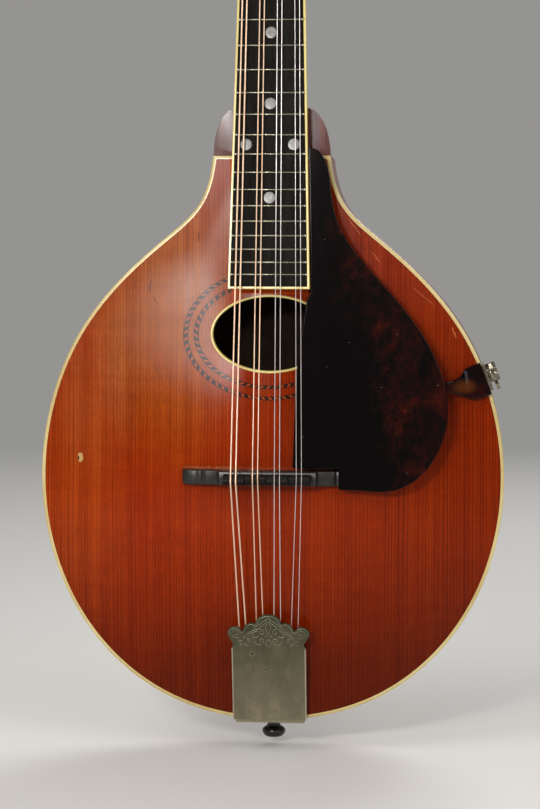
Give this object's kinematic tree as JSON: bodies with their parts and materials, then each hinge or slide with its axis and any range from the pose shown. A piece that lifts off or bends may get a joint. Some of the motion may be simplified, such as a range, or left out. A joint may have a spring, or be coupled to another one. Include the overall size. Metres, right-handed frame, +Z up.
{
  "type": "a-style mandolin",
  "caption": "Teardrop-bodied mandolin with a carved top, oval soundhole, floating bridge, raised pickguard, sliding tailpiece cover and geared tuning machines.",
  "frame": {"origin": "back of the neck behind the nut, where a hanger holds the instrument", "axes": "+Z up the neck towards the headstock, +Y from the strings towards the back, +X towards the treble side"},
  "size_m": [0.2558, 0.0957, 0.617],
  "materials": {
    "spruce_top": "gloss",
    "body_wood": "gloss",
    "inner_wood": "matte",
    "neck_wood": "gloss",
    "ebony": "satin",
    "cream_binding": "gloss",
    "bone": "satin",
    "tortoise": "gloss",
    "nickel": "satin",
    "ivoroid": "gloss",
    "bronze_string": "satin",
    "steel_string": "satin"
  },
  "bodies": {
    "instrument": {"back_plate": "body_wood", "bass_back_lining": "inner_wood", "bass_rib": "body_wood", "bass_top_lining": "inner_wood", "bass_tuner_plate": "nickel", "body_binding": "cream_binding", "bridge_base": "ebony", "bridge_saddle_a": "ebony", "bridge_saddle_d": "ebony", "bridge_saddle_e": "ebony", "bridge_saddle_g": "ebony", "clamp_upper_jaw": "nickel", "end_pin": "ebony", "fingerboard": "ebony", "fingerboard_binding": "cream_binding", "fingerboard_riser": "neck_wood", "head_block": "inner_wood", "headstock_veneer": "ebony", "neck": "neck_wood", "nut": "bone", "pickguard": "tortoise", "pickguard_arm": "tortoise", "pickguard_pin": "tortoise", "soundhole_binding": "cream_binding", "string_1": "bronze_string", "string_2": "bronze_string", "string_3": "bronze_string", "string_4": "bronze_string", "string_5": "steel_string", "string_6": "steel_string", "string_7": "steel_string", "string_8": "steel_string", "tail_block": "inner_wood", "tailpiece_base": "nickel", "tone_bar": "inner_wood", "top_plate": "spruce_top", "treble_back_lining": "inner_wood", "treble_rib": "body_wood", "treble_top_lining": "inner_wood", "treble_tuner_plate": "nickel"},
    "clamp_jaw": {"clamp_lower_jaw": "nickel"},
    "clamp_screw": {"clamp_screw": "nickel"},
    "post_1": {"string_post_1": "nickel"},
    "post_2": {"string_post_2": "nickel"},
    "post_3": {"string_post_3": "nickel"},
    "post_4": {"string_post_4": "nickel"},
    "post_5": {"string_post_5": "nickel"},
    "post_6": {"string_post_6": "nickel"},
    "post_7": {"string_post_7": "nickel"},
    "post_8": {"string_post_8": "nickel"},
    "cover": {"tailpiece_cover": "nickel"},
    "button_1": {"tuner_button_1": "ivoroid"},
    "button_2": {"tuner_button_2": "ivoroid"},
    "button_3": {"tuner_button_3": "ivoroid"},
    "button_4": {"tuner_button_4": "ivoroid"},
    "button_5": {"tuner_button_5": "ivoroid"},
    "button_6": {"tuner_button_6": "ivoroid"},
    "button_7": {"tuner_button_7": "ivoroid"},
    "button_8": {"tuner_button_8": "ivoroid"}
  },
  "joints": [
    {"name": "clamp_jaw_slide", "type": "slide", "parent": "instrument", "child": "clamp_jaw", "axis": [0, 1, 0], "range_m": [0, 0.0024]},
    {"name": "clamp_screw_turn", "type": "hinge", "parent": "instrument", "child": "clamp_screw", "pos_m": [0.12189, -0.02727, -0.29296], "axis": [0, -1, 0], "range_deg": [0, 1080]},
    {"name": "post_1_turn", "type": "hinge", "parent": "instrument", "child": "post_1", "pos_m": [-0.0205, -0.01134, 0.02843], "axis": [0, 0.9455, -0.3256], "continuous": true},
    {"name": "post_2_turn", "type": "hinge", "parent": "instrument", "child": "post_2", "pos_m": [-0.0205, -0.00385, 0.05018], "axis": [0, 0.9455, -0.3256], "continuous": true},
    {"name": "post_3_turn", "type": "hinge", "parent": "instrument", "child": "post_3", "pos_m": [-0.0205, 0.00363, 0.07192], "axis": [0, 0.9455, -0.3256], "continuous": true},
    {"name": "post_4_turn", "type": "hinge", "parent": "instrument", "child": "post_4", "pos_m": [-0.0205, 0.01112, 0.09367], "axis": [0, 0.9455, -0.3256], "continuous": true},
    {"name": "post_5_turn", "type": "hinge", "parent": "instrument", "child": "post_5", "pos_m": [0.0205, 0.01112, 0.09367], "axis": [0, 0.9455, -0.3256], "continuous": true},
    {"name": "post_6_turn", "type": "hinge", "parent": "instrument", "child": "post_6", "pos_m": [0.0205, 0.00363, 0.07192], "axis": [0, 0.9455, -0.3256], "continuous": true},
    {"name": "post_7_turn", "type": "hinge", "parent": "instrument", "child": "post_7", "pos_m": [0.0205, -0.00385, 0.05018], "axis": [0, 0.9455, -0.3256], "continuous": true},
    {"name": "post_8_turn", "type": "hinge", "parent": "instrument", "child": "post_8", "pos_m": [0.0205, -0.01134, 0.02843], "axis": [0, 0.9455, -0.3256], "continuous": true},
    {"name": "cover_slide", "type": "slide", "parent": "instrument", "child": "cover", "axis": [0, -0.1961, 0.9806], "range_m": [0, 0.012]},
    {"name": "button_1_turn", "type": "hinge", "parent": "instrument", "child": "button_1", "pos_m": [-0.0205, 0.01034, 0.02873], "axis": [1, 0, 0], "continuous": true},
    {"name": "button_2_turn", "type": "hinge", "parent": "instrument", "child": "button_2", "pos_m": [-0.0205, 0.01782, 0.05048], "axis": [1, 0, 0], "continuous": true},
    {"name": "button_3_turn", "type": "hinge", "parent": "instrument", "child": "button_3", "pos_m": [-0.0205, 0.02531, 0.07222], "axis": [1, 0, 0], "continuous": true},
    {"name": "button_4_turn", "type": "hinge", "parent": "instrument", "child": "button_4", "pos_m": [-0.0205, 0.0328, 0.09397], "axis": [1, 0, 0], "continuous": true},
    {"name": "button_5_turn", "type": "hinge", "parent": "instrument", "child": "button_5", "pos_m": [0.0205, 0.0328, 0.09397], "axis": [1, 0, 0], "continuous": true},
    {"name": "button_6_turn", "type": "hinge", "parent": "instrument", "child": "button_6", "pos_m": [0.0205, 0.02531, 0.07222], "axis": [1, 0, 0], "continuous": true},
    {"name": "button_7_turn", "type": "hinge", "parent": "instrument", "child": "button_7", "pos_m": [0.0205, 0.01782, 0.05048], "axis": [1, 0, 0], "continuous": true},
    {"name": "button_8_turn", "type": "hinge", "parent": "instrument", "child": "button_8", "pos_m": [0.0205, 0.01034, 0.02873], "axis": [1, 0, 0], "continuous": true}
  ],
  "couplings": [
    {"joint": "clamp_screw_turn", "follows": "clamp_jaw_slide", "rad_per_m": 7853.9},
    {"joint": "post_1_turn", "follows": "button_1_turn", "ratio": -0.071429},
    {"joint": "post_2_turn", "follows": "button_2_turn", "ratio": -0.071429},
    {"joint": "post_3_turn", "follows": "button_3_turn", "ratio": -0.071429},
    {"joint": "post_4_turn", "follows": "button_4_turn", "ratio": -0.071429},
    {"joint": "post_5_turn", "follows": "button_5_turn", "ratio": -0.071429},
    {"joint": "post_6_turn", "follows": "button_6_turn", "ratio": -0.071429},
    {"joint": "post_7_turn", "follows": "button_7_turn", "ratio": -0.071429},
    {"joint": "post_8_turn", "follows": "button_8_turn", "ratio": -0.071429}
  ]
}
